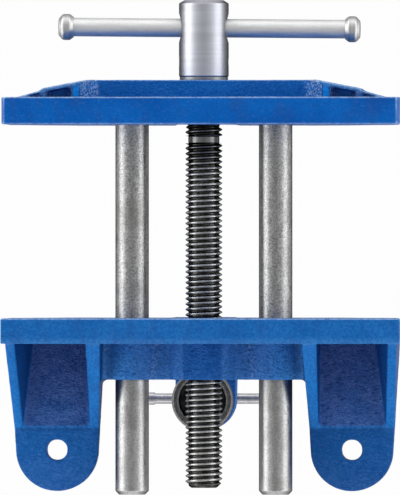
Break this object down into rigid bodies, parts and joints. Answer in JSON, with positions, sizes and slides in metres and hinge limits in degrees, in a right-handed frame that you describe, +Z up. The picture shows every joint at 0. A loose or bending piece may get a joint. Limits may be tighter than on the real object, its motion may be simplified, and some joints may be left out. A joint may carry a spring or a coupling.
{
  "type": "woodworking vise",
  "caption": "Portable clamp-on woodworking vise with cast jaws on guide rods, a hubbed screw with a sliding T-bar, bench ears and a screw clamp below the bench.",
  "frame": {"origin": "on the bench face, midway between the two ear holes", "axes": "+Z up from the bench along the ear holes, +Y back over the bench along the guide rods, +X towards the left side as seen from above with the handle at the top"},
  "size_m": [0.171, 0.2127, 0.1652],
  "materials": {
    "blue_enamel": "glossy blue enamel over rough cast iron",
    "ground_steel": "satin ground steel with fine speckle",
    "oiled_steel": "dark oiled steel with bright thread crests",
    "turned_steel": "bright turned steel",
    "plated_steel": "bright zinc plate",
    "pad_steel": "dark grey steel",
    "pin_steel": "plain steel"
  },
  "bodies": {
    "rear_casting": {"rear_jaw": "blue_enamel"},
    "sliding_jaw": {"front_jaw": "blue_enamel", "guide_rod_left": "ground_steel", "guide_rod_right": "ground_steel", "rod_pin_left": "pin_steel", "rod_pin_right": "pin_steel"},
    "screw_assembly": {"main_screw": "oiled_steel", "screw_hub": "turned_steel", "hub_pin": "pin_steel", "thrust_washer": "pin_steel", "retaining_clip": "pin_steel"},
    "t_bar": {"handle_bar": "plated_steel", "handle_knob_left": "plated_steel", "handle_knob_right": "plated_steel"},
    "bench_pad": {"clamp_pad": "pad_steel"},
    "clamp_spindle": {"clamp_screw": "oiled_steel", "pad_retainer": "pin_steel"},
    "tommy_bar": {"clamp_bar": "plated_steel", "clamp_bar_collar_left": "plated_steel", "clamp_bar_collar_right": "plated_steel"}
  },
  "joints": [
    {"name": "jaw_slide", "type": "slide", "parent": "rear_casting", "child": "sliding_jaw", "axis": [0, 1, 0], "range_m": [-0.031, 0.0825]},
    {"name": "screw_turn", "type": "hinge", "parent": "sliding_jaw", "child": "screw_assembly", "pos_m": [0, -0.1398, 0.012], "axis": [0, 1, 0], "range_deg": [-4836, 12866]},
    {"name": "t_bar_slide", "type": "slide", "parent": "screw_assembly", "child": "t_bar", "axis": [1, -0.0087, 0], "range_m": [-0.0445, 0.0493]},
    {"name": "pad_lift", "type": "slide", "parent": "rear_casting", "child": "bench_pad", "axis": [0, 0, 1], "range_m": [-0.0225, 0.023]},
    {"name": "clamp_turn", "type": "hinge", "parent": "bench_pad", "child": "clamp_spindle", "pos_m": [0.003, -0.0208, -0.043], "axis": [0, 0, 1], "range_deg": [-4632, 4735]},
    {"name": "tommy_bar_slide", "type": "slide", "parent": "clamp_spindle", "child": "tommy_bar", "axis": [1, 0, 0], "range_m": [-0.0165, 0.0165]}
  ],
  "couplings": [
    {"joint": "screw_turn", "follows": "jaw_slide", "rad_per_m": 2721.2},
    {"joint": "clamp_turn", "follows": "pad_lift", "rad_per_m": 3590.4}
  ]
}
